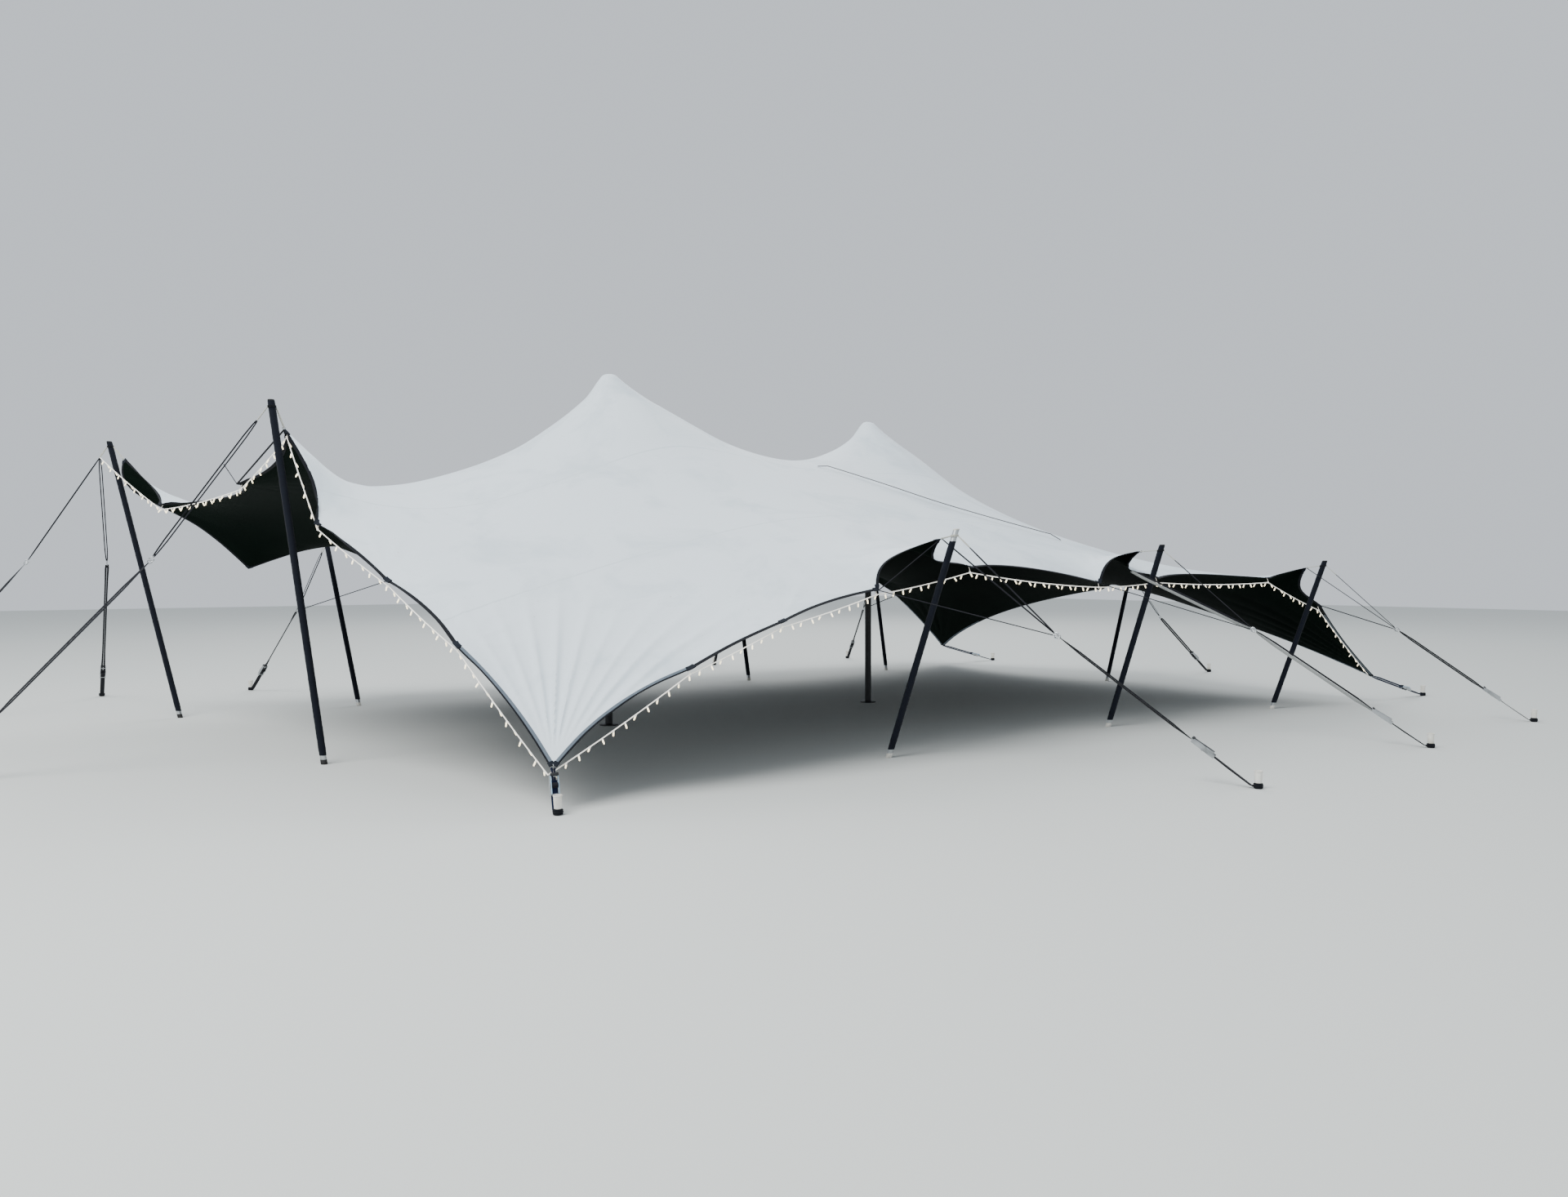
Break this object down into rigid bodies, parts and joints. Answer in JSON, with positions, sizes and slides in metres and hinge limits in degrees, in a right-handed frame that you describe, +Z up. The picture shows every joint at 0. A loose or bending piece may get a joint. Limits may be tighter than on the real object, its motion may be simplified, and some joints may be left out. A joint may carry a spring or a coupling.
{
  "type": "stretch tent",
  "caption": "Elastic canopy pulled over king poles and leaning edge poles, tied down with ratchet straps to ground stakes, with light strings along the eaves.",
  "frame": {"origin": "middle of the outline between the outermost stakes, at ground level", "axes": "+X along the long front eave from the pegged front left corner, +Y to the back, +Z up"},
  "size_m": [16.8184, 12.464, 3.646],
  "materials": {
    "canopy_cloth": "matt coated stretch cloth, white outside and near-black green inside",
    "hem_webbing": "matt woven webbing",
    "pole_sleeve": "aluminium tube in a black cloth sleeve with bare ends",
    "king_pole": "black powder coat",
    "strap": "woven ratchet strap with zinc-plated ratchet",
    "stake_cup": "weathered white plastic cup over a steel stake",
    "light_cable": "white cable with warm white lamps"
  },
  "bodies": {
    "root": {"canopy_panel_1": "canopy_cloth", "canopy_panel_2": "canopy_cloth", "canopy_panel_3": "canopy_cloth", "canopy_panel_4": "canopy_cloth", "canopy_panel_5": "canopy_cloth", "canopy_panel_6": "canopy_cloth", "hem_front": "hem_webbing", "hem_back": "hem_webbing", "hem_left": "hem_webbing", "hem_right": "hem_webbing", "king_pole_left": "king_pole", "king_pole_right": "king_pole", "pole_r1": "pole_sleeve", "pole_r2": "pole_sleeve", "pole_r3": "pole_sleeve", "pole_l1": "pole_sleeve", "pole_l2": "pole_sleeve", "pole_b1": "pole_sleeve", "pole_b2": "pole_sleeve", "pole_b3": "pole_sleeve", "pole_b4": "pole_sleeve", "pole_s1": "pole_sleeve", "guy_r1": "strap", "guy_r2": "strap", "guy_r3": "strap", "guy_l1": "strap", "guy_l2": "strap", "guy_b1": "strap", "guy_b2": "strap", "guy_b3": "strap", "guy_b4": "strap", "guy_s1": "strap", "corner_strap_front_left": "strap", "corner_strap_front_right": "strap", "corner_strap_back_right": "strap", "stake_r1": "stake_cup", "stake_r2": "stake_cup", "stake_r3": "stake_cup", "stake_l1": "stake_cup", "stake_l2": "stake_cup", "stake_b1": "stake_cup", "stake_b2": "stake_cup", "stake_b3": "stake_cup", "stake_b4": "stake_cup", "stake_s1": "stake_cup", "stake_l2_back": "stake_cup", "stake_front_left": "stake_cup", "stake_front_right": "stake_cup", "stake_back_right": "stake_cup", "light_string_front": "light_cable", "light_string_left": "light_cable"}
  },
  "joints": []
}
